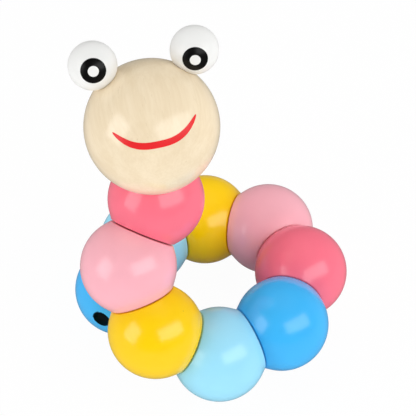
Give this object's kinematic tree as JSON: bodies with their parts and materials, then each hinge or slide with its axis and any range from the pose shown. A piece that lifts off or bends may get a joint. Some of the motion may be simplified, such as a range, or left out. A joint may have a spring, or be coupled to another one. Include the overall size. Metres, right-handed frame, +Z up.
{
  "type": "wooden twist worm toy",
  "caption": "Wooden inchworm of coloured wedge-cut balls on an elastic cord, with a round smiling head and ball eyes; each ball twists on the next to pose the body.",
  "frame": {"origin": "on the surface that the worm lies on, under the middle of its box", "axes": "+Z up; the head looks up and towards -Y; the open coil lies on the +X side of the neck"},
  "size_m": [0.0827, 0.0826, 0.1066],
  "materials": {
    "natural_wood": "satin clear coat over pale bare wood",
    "hot_pink": "glossy hot pink lacquer",
    "light_pink": "glossy light pink lacquer",
    "yellow": "glossy yellow lacquer",
    "light_blue": "glossy light blue lacquer",
    "blue": "glossy blue lacquer",
    "white": "glossy white lacquer",
    "black": "glossy black paint",
    "red": "red paint",
    "elastic": "matte off-white elastic cord"
  },
  "bodies": {
    "head": {"head_ball": "natural_wood", "eye_left": "white", "eye_right": "white", "eye_dowel_left": "natural_wood", "eye_dowel_right": "natural_wood", "pupil_left": "black", "pupil_right": "black", "pupil_dot_left": "white", "pupil_dot_right": "white", "mouth": "red", "cord_head": "elastic"},
    "bead_01": {"bead_01_hot_pink": "hot_pink", "cord_01": "elastic"},
    "bead_02": {"bead_02_light_pink": "light_pink", "cord_02": "elastic"},
    "bead_03": {"bead_03_yellow": "yellow", "cord_03": "elastic"},
    "bead_04": {"bead_04_light_blue": "light_blue", "cord_04": "elastic"},
    "bead_05": {"bead_05_blue": "blue", "cord_05": "elastic"},
    "bead_06": {"bead_06_hot_pink": "hot_pink", "cord_06": "elastic"},
    "bead_07": {"bead_07_light_pink": "light_pink", "cord_07": "elastic"},
    "bead_08": {"bead_08_yellow": "yellow", "cord_08": "elastic"},
    "bead_09": {"bead_09_light_blue": "light_blue", "cord_09": "elastic"},
    "bead_10": {"bead_10_blue": "blue", "cord_10": "elastic"}
  },
  "joints": [
    {"name": "twist_head", "type": "hinge", "parent": "bead_01", "child": "head", "pos_m": [-0.0161, -0.00208, 0.06494], "axis": [0.0232, -0.0654, -0.9976], "continuous": true},
    {"name": "twist_01", "type": "hinge", "parent": "bead_02", "child": "bead_01", "pos_m": [-0.01985, -0.0094, 0.04735], "axis": [-0.3807, -0.6306, -0.6763], "continuous": true},
    {"name": "twist_02", "type": "hinge", "parent": "bead_03", "child": "bead_02", "pos_m": [-0.02, -0.02132, 0.03202], "axis": [0.3668, -0.5042, -0.7818], "continuous": true},
    {"name": "twist_03", "type": "hinge", "parent": "bead_04", "child": "bead_03", "pos_m": [-0.00685, -0.027, 0.0189], "axis": [0.8837, -0.036, -0.4666], "range_deg": [0, 200]},
    {"name": "twist_04", "type": "hinge", "parent": "bead_04", "child": "bead_05", "pos_m": [0.01171, -0.02261, 0.01528], "axis": [0.883, 0.4534, 0.1219], "range_deg": [-240, 0]},
    {"name": "twist_05", "type": "hinge", "parent": "bead_05", "child": "bead_06", "pos_m": [0.0242, -0.00786, 0.01709], "axis": [0.3057, 0.9508, 0.0505], "range_deg": [-255, 0]},
    {"name": "twist_06", "type": "hinge", "parent": "bead_06", "child": "bead_07", "pos_m": [0.02268, 0.0115, 0.01709], "axis": [-0.4507, 0.8913, -0.0505], "range_deg": [-255, 0]},
    {"name": "twist_07", "type": "hinge", "parent": "bead_07", "child": "bead_08", "pos_m": [0.00803, 0.02412, 0.01528], "axis": [-0.943, 0.3097, -0.1219], "range_deg": [-255, 0]},
    {"name": "twist_08", "type": "hinge", "parent": "bead_08", "child": "bead_09", "pos_m": [-0.01129, 0.02271, 0.014], "axis": [-0.8958, -0.4444, 0.0004], "range_deg": [-255, 0]},
    {"name": "twist_09", "type": "hinge", "parent": "bead_09", "child": "bead_10", "pos_m": [-0.02406, 0.00808, 0.014], "axis": [-0.3192, -0.9477, -0.0004], "continuous": true}
  ]
}
